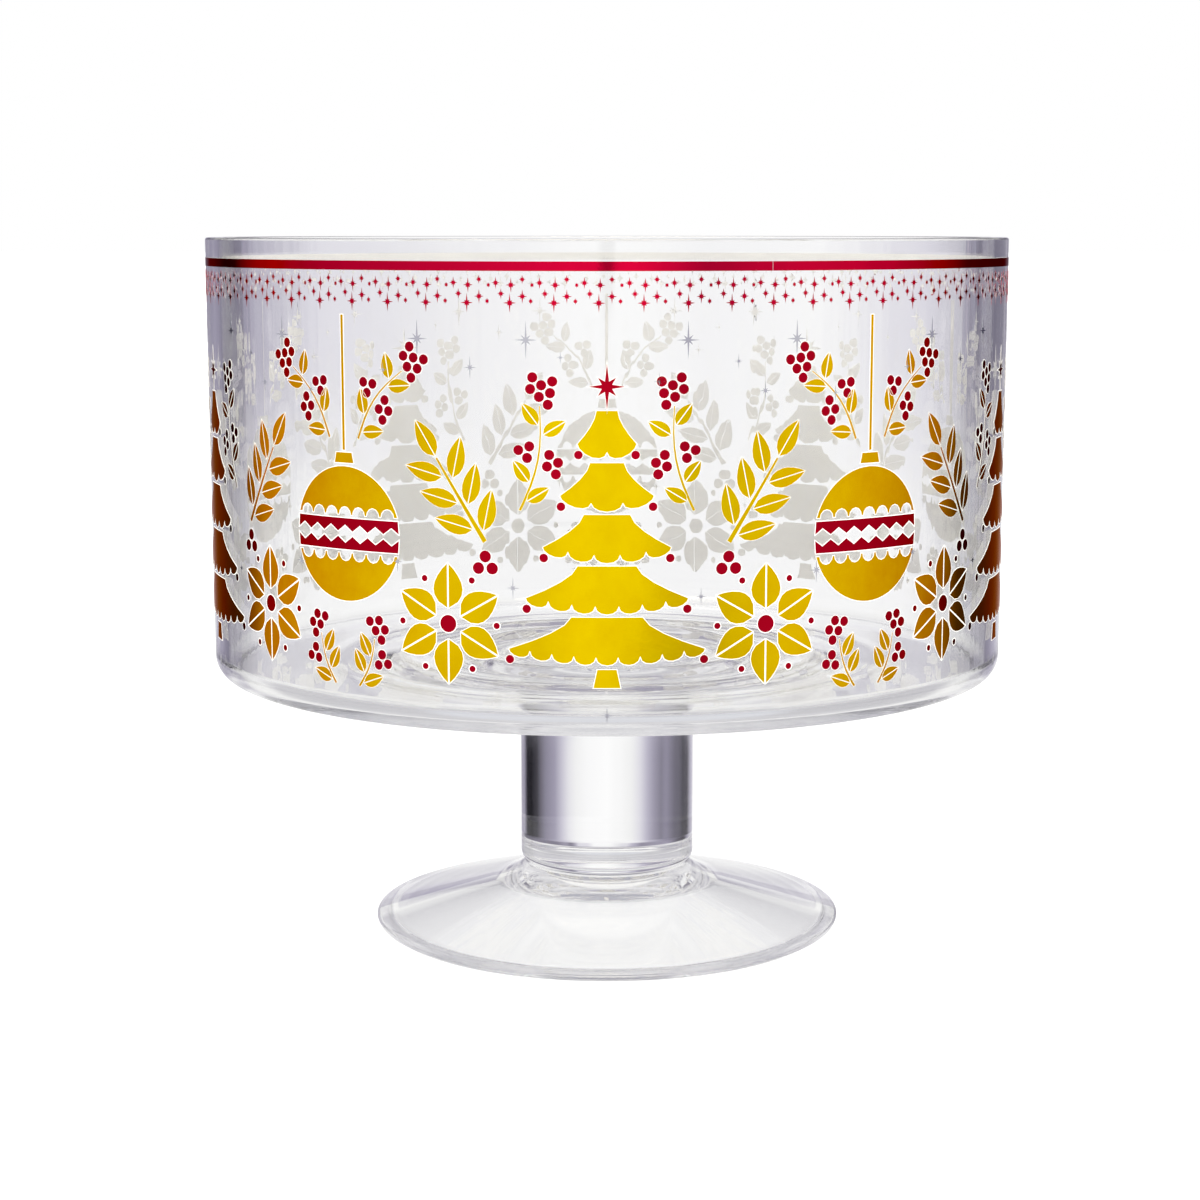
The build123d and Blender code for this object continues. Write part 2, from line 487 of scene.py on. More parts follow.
def draw_on(points):
    """Extrudes the selected point along a line of points (across, height)."""
    for (x0, z0), (x1, z1) in zip(points, points[1:]):
        step = (x1 - x0, 0, z1 - z0)
        bpy.ops.mesh.extrude_vertices_move(TRANSFORM_OT_translate={"value": step})


def curve(start, pull, end, steps):
    """Points along a smooth curve that leaves for, and comes from, one pulling point."""
    points = []
    for k in range(steps + 1):
        t = k / steps
        near, mid, far = (1 - t) ** 2, 2 * t * (1 - t), t * t
        points.append(tuple(near * a + mid * b + far * c for a, b, c in zip(start, pull, end)))
    return points


def pick_corner(piece, x, z):
    """Selects the one point of a half section that lies at (x, z)."""
    mesh = bmesh.from_edit_mesh(piece.data)
    for vert in mesh.verts:
        vert.select = abs(vert.co.x - x) < TOUCH and abs(vert.co.z - z) < TOUCH
    mesh.select_flush_mode()
    bmesh.update_edit_mesh(piece.data)


def pick_faces(piece, test):
    """Selects the faces whose middle and normal pass a test."""
    bpy.ops.mesh.select_mode(type="FACE")
    mesh = bmesh.from_edit_mesh(piece.data)
    for face in mesh.faces:
        face.select_set(bool(test(face.calc_center_median(), face.normal)))
    bmesh.update_edit_mesh(piece.data)


def paint_selected(piece, index):
    """Gives the selected faces the piece's material of that index."""
    piece.active_material_index = index
    bpy.ops.object.material_slot_assign()


def turn_glass(piece, points, rounds, steps):
    """Draws a half section, rounds its corners and spins it into closed glass."""
    bpy.ops.transform.translate(value=(points[0][0], 0, points[0][1]))
    draw_on(points)
    for x, z, radius, segments in rounds:
        pick_corner(piece, x, z)
        bpy.ops.mesh.bevel(affect="VERTICES", offset_type="OFFSET", offset=radius, segments=segments)
    bpy.ops.mesh.select_all(action="SELECT")
    bpy.ops.mesh.spin(steps=steps, angle=2 * pi, center=(0, 0, 0), axis=(0, 0, 1))
    bpy.ops.mesh.select_all(action="SELECT")
    bpy.ops.mesh.remove_doubles(threshold=TOUCH)
    bpy.ops.mesh.normals_make_consistent(inside=False)


def fuse(piece, z, radius):
    """Marks the disc of a piece that is melted into its neighbour."""

    def on_disc(middle, normal):
        return abs(middle.z - z) < 10 * TOUCH and middle.xy.length < radius and abs(normal.z) > 0.9

    pick_faces(piece, on_disc)
    paint_selected(piece, 1)


def finish_glass(piece, node):
    """Smooths a piece of glass and lets it stand for its solid."""
    bpy.ops.object.mode_set(mode="OBJECT")
    bpy.ops.object.shade_smooth_by_angle(angle=radians(35))
    # Long straight faces keep their own slope, so that the wall bends light as a straight wall does.
    even = piece.modifiers.new("even", "WEIGHTED_NORMAL")
    even.keep_sharp = True
    bpy.ops.object.modifier_apply(modifier="even")
    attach(piece, "root")
    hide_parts(node)


def outline(points):
    """Flat face inside a closed line of points (across, height) in millimetres."""
    scaled = [(x * MM, z * MM) for x, z in points]
    bpy.ops.mesh.primitive_plane_add(size=0.1 * MM, location=(scaled[0][0], 0, scaled[0][1]))
    bpy.ops.mesh.merge(type="CENTER")
    draw_on(scaled)
    bpy.ops.mesh.select_linked()
    bpy.ops.mesh.edge_face_add()


def dot(diameter, x, z, corners=14):
    """Flat round face, in millimetres."""
    bpy.ops.mesh.primitive_circle_add(
        vertices=corners,
        radius=diameter / 2 * MM,
        fill_type="NGON",
        location=(x * MM, 0, z * MM),
        rotation=(pi / 2, 0, 0),
    )


def begin_foil(name, material):
    """Starts an empty flat sheet of foil."""
    piece = begin(name, [material, "white_primer"])
    bpy.ops.mesh.delete(type="VERT")
    return piece


def lay_foil(piece, node, margin, turns=REPEATS):
    """Backs flat foil with white, bends it round the wall, gives it its thickness and repeats it."""
    sizes = bpy.context.scene.bowl_foil
    glass = bpy.context.scene.bowl_glass
    pick_faces(piece, lambda middle, normal: normal.y > 0)
    bpy.ops.mesh.flip_normals()
    bpy.ops.mesh.select_all(action="SELECT")
    if margin > 0:
        bpy.ops.mesh.inset(thickness=margin, use_individual=True, use_even_offset=True)
        bpy.ops.mesh.select_all(action="INVERT")
        paint_selected(piece, 1)
    reach = max(abs(v.co.x) for v in bmesh.from_edit_mesh(piece.data).verts)
    count = int(reach / sizes.strip)
    for k in range(-count, count + 1):
        bpy.ops.mesh.select_all(action="SELECT")
        bpy.ops.mesh.bisect(plane_co=(k * sizes.strip, 0, 0), plane_no=(1, 0, 0))
    bpy.ops.object.mode_set(mode="OBJECT")
    bend = piece.modifiers.new("bend", "SIMPLE_DEFORM")
    bend.deform_method = "BEND"
    bend.deform_axis = "Z"
    bend.angle = piece.dimensions.x / glass.rim_r
    bpy.ops.object.modifier_apply(modifier="bend")
    bpy.ops.object.mode_set(mode="EDIT")
    bpy.ops.mesh.select_all(action="SELECT")
    bpy.ops.transform.translate(value=(0, -glass.rim_r, 0))
    bpy.ops.object.mode_set(mode="OBJECT")
    press = piece.modifiers.new("press", "SHRINKWRAP")
    press.target = bpy.data.objects["glass_bowl"]
    press.wrap_method = "NEAREST_SURFACEPOINT"
    press.wrap_mode = "ABOVE_SURFACE"
    press.offset = sizes.film
    bpy.ops.object.modifier_apply(modifier="press")
    back = piece.modifiers.new("back", "SOLIDIFY")
    back.thickness = sizes.thickness
    back.offset = -1
    back.material_offset = 1
    back.material_offset_rim = 1 if margin > 0 else 0
    bpy.ops.object.modifier_apply(modifier="back")
    bpy.ops.object.mode_set(mode="EDIT")
    bpy.ops.mesh.select_all(action="SELECT")
    if turns > 1:
        share = 2 * pi / turns
        bpy.ops.mesh.spin(
            steps=turns - 1, dupli=True, angle=share * (turns - 1), center=(0, 0, 0), axis=(0, 0, 1)
        )
    bpy.ops.object.mode_set(mode="OBJECT")
    bpy.ops.object.shade_smooth_by_angle(angle=radians(30))
    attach(piece, "root")
    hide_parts(node)


# Outlines, in millimetres


def placed(points, x, z, turn=0.0):
    """Points turned by some degrees and moved to (x, z)."""
    c, s = cos(radians(turn)), sin(radians(turn))
    return [(x + c * px - s * pz, z + s * px + c * pz) for px, pz in points]


def star_points(long_ray, side_ray, slant_ray, waist):
    """Star with two long rays, two side rays and four short slanting ones."""
    points = []
    for k in range(16):
        ray = waist
        if k % 8 == 0:
            ray = long_ray
        elif k % 8 == 4:
            ray = side_ray
        elif k % 2 == 0:
            ray = slant_ray
        angle = pi * k / 8
        points.append((ray * sin(angle), ray * cos(angle)))
    return points


def half_leaf(length, width, side, gap=0.05):
    """One half of a pointed leaf along one side of its midrib, widest a little before its middle."""
    points = [(0.0, side * gap)]
    for k in range(1, 7):
        t = k / 7
        points.append((t * length, side * (gap + width / 2 * sin(pi * t**0.8) ** 0.85)))
    points.append((length, side * gap))
    return points


def leaf(x, z, turn, length, width):
    """Leaf in two halves with its heel at (x, z)."""
    for side in (-1, 1):
        outline(placed(half_leaf(length, width, side), x, z, turn))


def cluster(x, z, turn, count, hand):
    """Cluster of round beads that touch, the first of them at (x, z) and the next to one hand of it."""
    bead, step, row = 2.7, 2.75, 2.38
    half = step / 2
    near = [(0, 0), (step, 0), (half, row), (-half, row), (half, -row)]
    near += [(step + half, row), (step + half, -row)]
    for px, pz in placed([(a, hand * b) for a, b in near[:count]], x, z, turn):
        dot(bead, px, pz, 12)


def curved_stem(x, z, turn, length, bow, width):
    """Thin stem that bows to one side."""
    line = []
    for k in range(9):
        t = k / 8
        line.append((t * length, bow * sin(pi * t)))
    upper = [(px, pz + width / 2 * (1 - 0.5 * px / length)) for px, pz in line]
    lower = [(px, pz - width / 2 * (1 - 0.5 * px / length)) for px, pz in reversed(line)]
    outline(placed(upper + lower, x, z, turn))


# Sprigs of beads in one half of a repeat: heel across and up, lean in degrees, length, bow,
# leaves (share of the length, hand) and clusters (share of the length, way beside the stem, beads).
TALL_LEAVES = ((0.1, 1), (0.28, -1), (0.74, 1), (0.82, -1))
TALL_CLUSTERS = ((0.46, 2.4, 4), (0.5, -2.6, 3), (1.08, 0.0, 7))
LOW_LEAVES = ((0.1, 1), (0.3, -1), (0.64, -1))
LOW_CLUSTERS = ((0.58, 2.4, 3), (1.15, 0.0, 5))
SPRIGS = [
    ((20.5, 127.0, 101, 25, 2.0), TALL_LEAVES, TALL_CLUSTERS),
    ((63.0, 142.5, 128, 21, -2.0), TALL_LEAVES, TALL_CLUSTERS),
    ((63.8, 82.5, 112, 13, 1.0), LOW_LEAVES, LOW_CLUSTERS),
]


def sprig_spot(sprig, side, share, beside):
    """Place at a share of a sprig's length and some way beside its stem, and the way the stem leans."""
    x, z, turn, length, bow = sprig
    line = [(share * length, bow * sin(pi * share) + beside)]
    px, pz = placed(line, x, z, turn)[0]
    return side * px, pz, turn if side > 0 else 180 - turn


def tier_points(half_w, neck, low, high, scallops, depth, sag):
    """Tier of a fir tree: scalloped below, drawn in at the sides."""
    points = []
    width = 2 * half_w / scallops
    for k in range(scallops):
        for j in range(6):
            angle = pi * j / 6
            x = -half_w + width * (k + (1 - cos(angle)) / 2)
            points.append((x, low + depth + sag * (x / half_w) ** 2 - depth * sin(angle)))
    tip_z = low + depth + sag
    for k in range(5):
        t = k / 4
        points.append((neck + (half_w - neck) * (1 - t) ** 1.6, tip_z + (high - tip_z) * t))
    for k in range(4):
        t = k / 4
        points.append((-neck - (half_w - neck) * t**1.6, high - (high - tip_z) * t))
    return points


def dome_points(radius, cut, arches, depth):
    """Dome of a bauble above the height cut, with arches along its lower edge."""
    start = asin(cut / radius)
    points = []
    for k in range(25):
        angle = start + (pi - 2 * start) * k / 24
        points.append((radius * cos(angle), radius * sin(angle)))
    half = radius * cos(start)
    # Plain edge left at each end of the row of arches, and half of what stands between two arches.
    end, pillar = 0.9, 0.35
    width = 2 * (half - end) / arches
    for k in range(arches):
        for j in range(7):
            angle = pi * j / 6
            x = -half + end + width * (k + 0.5) - (width / 2 - pillar) * cos(angle)
            points.append((x, cut + depth * sin(angle)))
    return points


# Operators


class BOWL_OT_glass_bowl(bpy.types.Operator):
    """Straight-sided glass bowl with a rippled floor"""

    bl_idname = "bowl.glass_bowl"
    bl_label = "Glass bowl"

    def execute(self, context):
        s = context.scene.bowl_glass
        low, top = BOWL_LOW.z, BOWL_HIGH.z
        foot_r = s.rim_r - s.draft
        floor_z = low + s.floor_t
        edge_z = low + s.floor_edge_t
        points = [
            (0, low),
            (s.stem_r, low),
            (foot_r, low),
            (s.rim_r, top),
            (s.rim_r - s.wall_t, top),
            (foot_r - s.wall_t, edge_z),
        ]
        rings = 80
        start = foot_r - s.wall_t - 2 * s.inner_corner_r
        for k in range(rings + 1):
            r = start * (1 - k / rings)
            swell = (1 + cos(pi * min(1.0, r / start))) / 2
            fade = max(0.0, 1 - (r / s.ripple_r) ** 2)
            ring = s.ripple_h * fade * cos(2 * pi * r / s.ripple_pitch)
            points.append((r, edge_z + (floor_z - edge_z) * swell + ring))
        rounds = [
            (foot_r, low, s.corner_r, 10),
            (s.rim_r, top, s.rim_round, 5),
            (s.rim_r - s.wall_t, top, s.rim_round, 5),
            (foot_r - s.wall_t, edge_z, s.inner_corner_r, 8),
        ]
        piece = begin("glass_bowl", ["fire_polished_glass", "fused_glass_joint"])
        turn_glass(piece, points, rounds, steps=256)
        fuse(piece, low, s.stem_r)
        bpy.ops.object.mode_set(mode="OBJECT")
        # The rings in the floor were pressed by hand, so they wander.
        group = piece.vertex_groups.new(name="floor")
        for vert in piece.data.vertices:
            r = vert.co.xy.length
            if r < s.ripple_r and low + s.floor_edge_t / 2 < vert.co.z < floor_z + 2 * s.ripple_h:
                group.add([vert.index], 1 - (r / s.ripple_r) ** 2, "REPLACE")
        texture = bpy.data.textures.new("wandering_rings", "CLOUDS")
        texture.noise_scale = 34 * MM
        texture.noise_depth = 0
        wander = piece.modifiers.new("wander", "DISPLACE")
        wander.texture = texture
        wander.texture_coords = "LOCAL"
        wander.direction = "Z"
        wander.strength = 1.2 * MM
        wander.mid_level = 0.5
        wander.vertex_group = group.name
        bpy.ops.object.modifier_apply(modifier="wander")
        piece.vertex_groups.clear()
        finish_glass(piece, "bowl")
        return {"FINISHED"}


class BOWL_OT_glass_stem(bpy.types.Operator):
    """Solid glass stem, rounded at its lower end"""

    bl_idname = "bowl.glass_stem"
    bl_label = "Glass stem"

    def execute(self, context):
        s = context.scene.bowl_glass
        low, top = STEM_LOW.z, STEM_HIGH.z
        piece = begin("glass_stem", ["fire_polished_glass", "fused_glass_joint"])
        points = [(0, low), (s.stem_r, low), (s.stem_r, (low + top) / 2), (s.stem_r, top), (0, top)]
        turn_glass(piece, points, [(s.stem_r, low, s.stem_round, 8)], steps=192)
        fuse(piece, low, s.stem_r)
        fuse(piece, top, s.stem_r)
        finish_glass(piece, "stem")
        return {"FINISHED"}


class BOWL_OT_glass_foot(bpy.types.Operator):
    """Spreading glass foot with a flared collar and a hollow underside"""

    bl_idname = "bowl.glass_foot"
    bl_label = "Glass foot"

    def execute(self, context):
        s = context.scene.bowl_glass
        edge_r = FOOT_HIGH.x
        top = FOOT_HIGH.z
        joint_r = s.stem_r - s.stem_round
        # Under the foot: a dome that slopes down to the ring it stands on, and the rounded edge.
        dome = curve((4 * MM, s.hollow_h), (20.5 * MM, s.hollow_h), (30 * MM, 8.2 * MM), 12)
        slope_end = (57 * MM, 0.5 * MM)
        ring_in, ring_out = 58.4 * MM, 60.6 * MM
        edge_low, edge_high = 2.2 * MM, 4.2 * MM
        # Over it: a cone up to the collar, which flares into the stem.
        flare = curve((32 * MM, 12.9 * MM), (25.2 * MM, 14.7 * MM), (22.9 * MM, top), 14)
        points = [(0, s.hollow_h)] + dome
        points += [slope_end, (ring_in, 0), (ring_out, 0), (edge_r, edge_low), (edge_r, edge_high)]
        points += flare + [(joint_r, top), (0, top)]
        rounds = [
            (ring_out, 0, 1.2 * MM, 4),
            (edge_r, edge_low, 1.2 * MM, 5),
            (edge_r, edge_high, 0.9 * MM, 5),
        ]
        piece = begin("glass_foot", ["fire_polished_glass", "fused_glass_joint"])
        turn_glass(piece, points, rounds, steps=256)
        fuse(piece, top, joint_r)
        finish_glass(piece, "foot")
        return {"FINISHED"}


class BOWL_OT_rim_stripe(bpy.types.Operator):
    """Red foil stripe under the rim, with a hairline seam"""

    bl_idname = "bowl.rim_stripe"
    bl_label = "Rim stripe"

    def execute(self, context):
        low, high = STRIPE_LOW.z / MM, STRIPE_HIGH.z / MM
        half_seam = 0.05
        seam_bearing = 21
        half = pi * context.scene.bowl_glass.rim_r / MM - half_seam
        # The strip is drawn about its seam and then turned to where the seam is.
        piece = begin_foil("foil_rim_stripe", "red_hot_foil")
        outline([(-half, low), (half, low), (half, high), (-half, high)])
        lay_foil(piece, "rim_stripe", margin=0, turns=1)
        bpy.ops.object.mode_set(mode="EDIT")
        bpy.ops.mesh.select_all(action="SELECT")
        bpy.ops.transform.rotate(
            value=radians(180 - seam_bearing),
            orient_axis="Z",
            orient_type="GLOBAL",
            center_override=(0, 0, 0),
        )
        bpy.ops.object.mode_set(mode="OBJECT")
        return {"FINISHED"}


class BOWL_OT_border_stars(bpy.types.Operator):
    """Border of small red stars in five rows under the stripe"""

    bl_idname = "bowl.border_stars"
    bl_label = "Star border"

    def execute(self, context):
        s = context.scene.bowl_foil
        top = STRIPE_LOW.z / MM
        cell = 2 * pi * context.scene.bowl_glass.rim_r / MM / REPEATS / s.cells
        # each entry: share of the cell, drop under the stripe, long ray
        stars = [
            (0.12, 5.2, 1.25),
            (0.32, 7.3, 2.2),
            (0.35, 3.2, 1.75),
            (0.61, 5.8, 1.65),
            (0.61, 1.9, 1.05),
            (0.80, 6.9, 0.75),
            (0.83, 3.2, 0.6),
            (1.00, 2.7, 1.4),
        ]
        piece = begin_foil("foil_border_stars", "red_hot_foil")
        for k in range(s.cells):
            for share, drop, ray in stars:
                x = (k - s.cells / 2 + share) * cell
                points = star_points(ray, 0.72 * ray, 0.2 * ray + 0.42, 0.13 * ray + 0.24)
                outline(placed(points, x, top - drop))
        lay_foil(piece, "border_stars", margin=0)
        return {"FINISHED"}


class BOWL_OT_trees(bpy.types.Operator):
    """Gold foil fir trees with a red star and red beads"""

    bl_idname = "bowl.trees"
    bl_label = "Trees"

    def execute(self, context):
        low, high = TREE_LOW.z / MM, TREE_HIGH.z / MM
        trunk_top = low + 5
        # scallops along the edge of each tier, from the lowest up
        scallops = (9, 7, 5, 3, 2)
        scallop_h, sag, gap = 1.7, 2.2, 0.4
        widest, taper, neck = 23.5, 0.7, 0.36
        tiers = len(scallops)
        tier_h = (high - trunk_top) / tiers
        piece = begin_foil("foil_trees", "gold_hot_foil")
        outline([(-3.4, low), (3.4, low), (2.4, trunk_top - 0.3), (-2.4, trunk_top - 0.3)])
        tips = []
        for k, count in enumerate(scallops):
            half_w = widest * (1 - taper * k / (tiers - 1))
            base = trunk_top + k * tier_h + gap
            top = base + tier_h - gap
            outline(tier_points(half_w, neck * half_w, base, top, count, scallop_h, sag))
            tips.append((half_w, base + scallop_h + sag))
        lay_foil(piece, "tree_foils", margin=context.scene.bowl_foil.margin)
        piece = begin_foil("foil_tree_stars", "berry_hot_foil")
        star_rise, bead, bead_in, bead_drop = 5.4, 2.3, 0.4, 2.6
        outline(placed(star_points(6.4, 5.0, 3.4, 1.5), 0, high + star_rise))
        for x, z in tips:
            for side in (-1, 1):
                dot(bead, side * (x - bead_in), z - bead_drop)
        lay_foil(piece, "tree_top_stars", margin=0.1 * MM)
        return {"FINISHED"}


class BOWL_OT_baubles(bpy.types.Operator):
    """Gold and red foil baubles that hang from the border by a thread"""

    bl_idname = "bowl.baubles"
    bl_label = "Baubles"

    def execute(self, context):
        middle = (BAND_LOW.z + BAND_HIGH.z) / 2 / MM
        half = pi * context.scene.bowl_glass.rim_r / MM / REPEATS
        radius, band, gap = 16.5, 4.0, 0.5
        piece = begin_foil("foil_baubles", "gold_hot_foil")
        upper = dome_points(radius, band + gap, arches=7, depth=2.0)
        outline(placed(upper, half, middle))
        outline(placed(upper, half, middle, 180))
        cap = [(-3.2, 0), (3.2, 0), (2.6, 2.8), (-2.6, 2.8)]
        cap_z = middle + radius + gap
        outline(placed(cap, half, cap_z))
        thread, thread_low, thread_top = 0.55, cap_z + 3.1, STRIPE_LOW.z / MM - 10.4
        left, right = half - thread, half + thread
        outline([(left, thread_low), (right, thread_low), (right, thread_top), (left, thread_top)])
        lay_foil(piece, "bauble_foils", margin=context.scene.bowl_foil.margin)
        piece = begin_foil("foil_bauble_bands", "berry_hot_foil")
        # The two halves of the band are notched where they meet, so that a row of diamonds is left.
        teeth, deep, shallow, reach = 7, 1.95, 0.35, 0.985
        for side in (-1, 1):
            edge = radius * cos(asin(band / radius))
            line = [(half - edge, middle + side * band), (half + edge, middle + side * band)]
            for k in range(2 * teeth + 1):
                x = radius - 2 * radius * k / (2 * teeth)
                z = side * (deep if k % 2 else shallow)
                line.append((half + reach * x, middle + z))
            outline(line)
        lay_foil(piece, "bauble_bands", margin=0.2 * MM)
        return {"FINISHED"}


class BOWL_OT_flowers(bpy.types.Operator):
    """Gold foil flowers with a red eye at the foot of the trees"""

    bl_idname = "bowl.flowers"
    bl_label = "Flowers"

    def execute(self, context):
        middle = (PETAL_LOW.z + PETAL_HIGH.z) / 2 / MM
        # from the tree to the flower, and from the flower's middle to its petals and its outer beads
        across, heel_r, bead_r = 38.5, 3.5, 12.2
        piece = begin_foil("foil_petals", "gold_hot_foil")
        for side in (-1, 1):
            for k in range(6):
                turn = 90 + 60 * k
                x = side * across + heel_r * cos(radians(turn))
                z = middle + heel_r * sin(radians(turn))
                leaf(x, z, turn, 11.2, 7.8)
        lay_foil(piece, "flower_petals", margin=context.scene.bowl_foil.margin)
        piece = begin_foil("foil_flower_eyes", "berry_hot_foil")
        for side in (-1, 1):
            dot(4.6, side * across, middle, 20)
            for k in range(6):
                angle = radians(120 + 60 * k)
                dot(2.0, side * across + bead_r * cos(angle), middle + bead_r * sin(angle))
        lay_foil(piece, "flower_beads", margin=0.2 * MM)
        return {"FINISHED"}


class BOWL_OT_twigs(bpy.types.Operator):
    """Gold foil twigs with clusters of red beads"""

    bl_idname = "bowl.twigs"
    bl_label = "Twigs"

    def execute(self, context):
        heel_x, heel_z = 29, PETAL_HIGH.z / MM + 5.3
        twig_l, splay = 23, 32
        # leaves in pairs along the twig: the first pair, the next, and one hand ahead of the other
        first, pitch, ahead_by = 3.2, 7.2, 0.8
        piece = begin_foil("foil_twigs", "gold_hot_foil")
        for side in (-1, 1):
            lean = 90 - side * splay
            ahead = Vector((cos(radians(lean)), sin(radians(lean))))
            beside = Vector((-ahead.y, ahead.x))
            heel = Vector((side * heel_x, heel_z))
            curved_stem(heel.x, heel.y, lean, twig_l, 0, 1.3)
            tip = heel + ahead * (twig_l + 0.4)
            leaf(tip.x, tip.y, lean, 10, 4.8)
            for k in range(3):
                for hand in (-1, 1):
                    foot = heel + ahead * (first + pitch * k + ahead_by * hand) + beside * hand
                    leaf(foot.x, foot.y, lean + hand * 44, 10.2, 4.6)
            for sprig, leaves, clusters in SPRIGS:
                x, z, turn = sprig_spot(sprig, side, 0, 0)
                curved_stem(x, z, turn, sprig[3], side * sprig[4], 0.8)
                for share, hand in leaves:
                    x, z, turn = sprig_spot(sprig, side, share, 0.6 * hand)
                    leaf(x, z, turn + side * hand * 48, 6.4, 3.4)
        lay_foil(piece, "twig_foils", margin=0.06 * MM)
        piece = begin_foil("foil_twig_beads", "berry_hot_foil")
        for side in (-1, 1):
            for x, drop in ((0, 3.4), (-1.7, 6.2), (1.7, 6.2)):
                dot(3.1, side * heel_x + x, heel_z - drop)
            for sprig, leaves, clusters in SPRIGS:
                for share, beside, count in clusters:
                    x, z, turn = sprig_spot(sprig, side, share, beside)
                    cluster(x, z, turn, count, side if beside >= 0 else -side)
        lay_foil(piece, "twig_beads", margin=0.1 * MM)
        return {"FINISHED"}


class BOWL_OT_small_stars(bpy.types.Operator):
    """Silver foil stars scattered over the frieze"""

    bl_idname = "bowl.small_stars"
    bl_label = "Small stars"

    def execute(self, context):
        middle = (STAR_LOW.z + STAR_HIGH.z) / 2 / MM
        pitch = 2 * pi * context.scene.bowl_glass.rim_r / MM / REPEATS
        # each entry: share of the repeat, height against the row of stars, long ray
        stars = [
            (-0.34, 0.0, 4.4),
            (-0.14, 0.0, 4.4),
            (0.14, 0.0, 4.4),
            (0.34, 0.0, 4.4),
            (-0.41, -7.5, 1.9),
            (-0.24, -6.5, 2.6),
            (-0.08, -4.0, 1.6),
            (0.09, -9.5, 2.2),
            (0.23, -5.0, 1.7),
            (0.28, -12.0, 2.4),
            (0.42, -13.0, 1.8),
            (-0.165, -58.0, 2.6),
            (0.165, -60.0, 2.2),
            (-0.385, -53.0, 2.4),
            (0.385, -55.0, 3.0),
            (0.0, -88.0, 2.4),
        ]
        piece = begin_foil("foil_small_stars", "silver_hot_foil")
        for share, rise, ray in stars:
            points = star_points(ray, 0.62 * ray, 0.36 * ray, 0.13 * ray)
            outline(placed(points, share * pitch, middle + rise))
        lay_foil(piece, "small_stars", margin=0)
        return {"FINISHED"}


# Light round the studio: three rows of screens, then the strip and
# the curtain over them, then the shade under the bowl.
# each entry: degrees round from behind the bowl, right positive, and brightness
SCREENS_HIGH = [
    (-180, 1.0),
    (-143, 0.80),
    (-124, 0.74),
    (-90, 0.76),
    (-75, 0.90),
    (-66, 0.78),
    (-58, 0.42),
    (-52, 0.05),
    (-43, 0.06),
    (-32, 0.33),
    (-15.5, 0.26),
    (-13, 0.42),
    (-11, 0.52),
    (-8.5, 0.78),
    (-6.5, 0.79),
    (-4.5, 0.88),
    (-2, 0.99),
    (5.8, 0.99),
    (8.5, 0.75),
    (12.5, 0.75),
    (14.5, 0.37),
    (16.5, 0.16),
    (19, 0.33),
    (24, 0.20),
    (40, 0.18),
    (60, 0.14),
    (72, 0.60),
    (88, 0.84),
    (109, 0.95),
    (126, 0.86),
    (153, 0.50),
    (171, 1.0),
]
SCREENS_MIDDLE = [
    (-180, 0.90),
    (-171, 0.98),
    (-163, 0.87),
    (-150, 0.87),
    (-125, 0.93),
    (-100, 0.95),
    (-80, 0.94),
    (-68, 0.82),
    (-60, 0.42),
    (-52, 0.07),
    (-43, 0.10),
    (-35, 0.22),
    (-28, 0.30),
    (-20, 0.50),
    (-14, 0.85),
    (-10, 0.97),
    (10, 0.98),
    (14, 0.86),
    (20, 0.60),
    (28, 0.35),
    (42, 0.10),
    (62, 0.06),
    (74, 0.62),
    (84, 0.74),
    (100, 0.87),
    (125, 0.90),
    (150, 0.82),
    (162, 0.80),
    (172, 0.98),
    (180, 0.90),
]
SCREENS_LOW = [
    (-180, 1.0),
    (-163, 0.70),
    (-150, 0.64),
    (-128, 0.80),
    (-105, 0.63),
    (-80, 0.72),
    (-70, 0.50),
    (-60, 0.04),
    (-50, 0.05),
    (-40, 0.12),
    (-32, 0.26),
    (-28, 0.20),
    (-23, 0.31),
    (-19, 0.49),
    (-15, 0.76),
    (-11, 0.92),
    (-6, 1.0),
    (9, 1.0),
    (14, 0.94),
    (18, 0.82),
    (22, 0.60),
    (26.5, 0.36),
    (34, 0.24),
    (43, 0.01),
    (59, 0.005),
    (68, 0.42),
    (96, 0.40),
    (116, 0.88),
    (130, 0.78),
    (156, 0.0),
    (169, 0.10),
    (180, 1.0),
]
STRIP = [
    (-180, 0.42),
    (-66, 0.80),
    (-32, 0.80),
    (-16, 0.32),
    (16, 0.32),
    (32, 0.84),
    (66, 0.84),
    (180, 0.42),
]
CURTAIN = [
    (-180, 0.42),
    (-70, 0.90),
    (-36, 0.90),
    (-20, 0.20),
    (20, 0.20),
    (36, 0.94),
    (70, 0.94),
    (180, 0.42),
]
SHADE = [
    (-180, 0.68),
    (-90, 0.70),
    (-66, 0.59),
    (-38, 0.59),
    (-18, 0.68),
    (18, 0.68),
    (38, 0.57),
    (66, 0.57),
    (90, 0.70),
    (180, 0.68),
]


def screen_stops(screens, tint=0.065):
    """Colour stops for a ring of screens: the darker, the more they lean to lavender."""
    stops = []
    for bearing, level in screens:
        lean = tint * min(1.0, max(0.0, (0.92 - level) / 0.6))
        stops.append(((bearing + 180) / 360, (level, level * (1 - lean), level * (1 + 3.5 * lean), 1)))
    return stops


